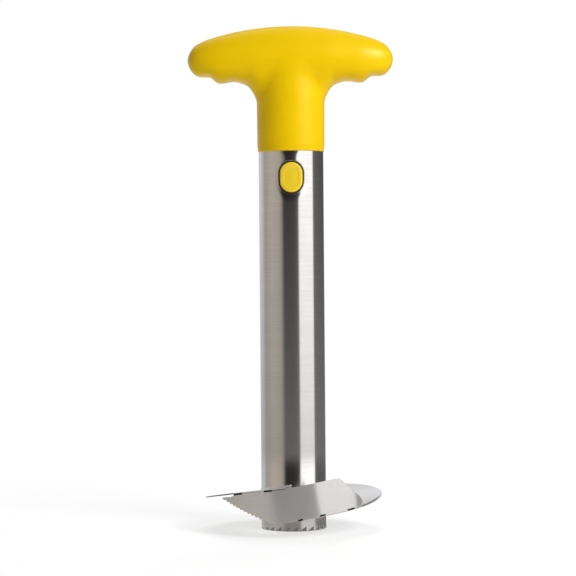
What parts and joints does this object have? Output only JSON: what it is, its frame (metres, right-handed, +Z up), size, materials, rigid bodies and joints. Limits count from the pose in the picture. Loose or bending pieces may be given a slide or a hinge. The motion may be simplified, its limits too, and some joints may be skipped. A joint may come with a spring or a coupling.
{
  "type": "pineapple slicer",
  "caption": "Hand corer with a toothed steel tube, a helical slicing disc with an upright serrated rim blade, and a yellow T-handle that lifts off when press buttons are pushed in.",
  "frame": {"origin": "on the core tube's axis, in the plane of the tooth tips on which the slicer stands", "axes": "+Z up along the tube towards the handle, +X along the handle bar, -Y towards the front button and the rim blade"},
  "size_m": [0.1002, 0.0864, 0.2454],
  "materials": {
    "tube_steel": "brushed round the tube",
    "blade_steel": "fine brushed sheet",
    "handle_plastic": "satin, finely textured",
    "button_plastic": "satin",
    "latch_plastic": "plain moulded",
    "spring_steel": "drawn wire"
  },
  "bodies": {
    "corer": {"core_tube": "tube_steel", "slicing_disc": "blade_steel", "rim_blade": "blade_steel"},
    "handle": {"handle_front_shell": "handle_plastic", "handle_back_shell": "handle_plastic", "latch_housing": "latch_plastic", "latch_cap": "latch_plastic", "front_spring": "spring_steel", "back_spring": "spring_steel"},
    "front_button": {"front_button": "button_plastic"},
    "back_button": {"back_button": "button_plastic"}
  },
  "joints": [
    {"name": "handle_lift", "type": "slide", "parent": "corer", "child": "handle", "axis": [0, 0, 1], "range_m": [0, 0.126]},
    {"name": "front_button_press", "type": "slide", "parent": "handle", "child": "front_button", "axis": [0, 1, 0], "range_m": [0, 0.0025], "stiffness_N_per_m": 400, "springref_m": -0.002, "deforming": ["front_spring"]},
    {"name": "back_button_press", "type": "slide", "parent": "handle", "child": "back_button", "axis": [0, -1, 0], "range_m": [0, 0.0025], "stiffness_N_per_m": 400, "springref_m": -0.002, "deforming": ["back_spring"]}
  ]
}
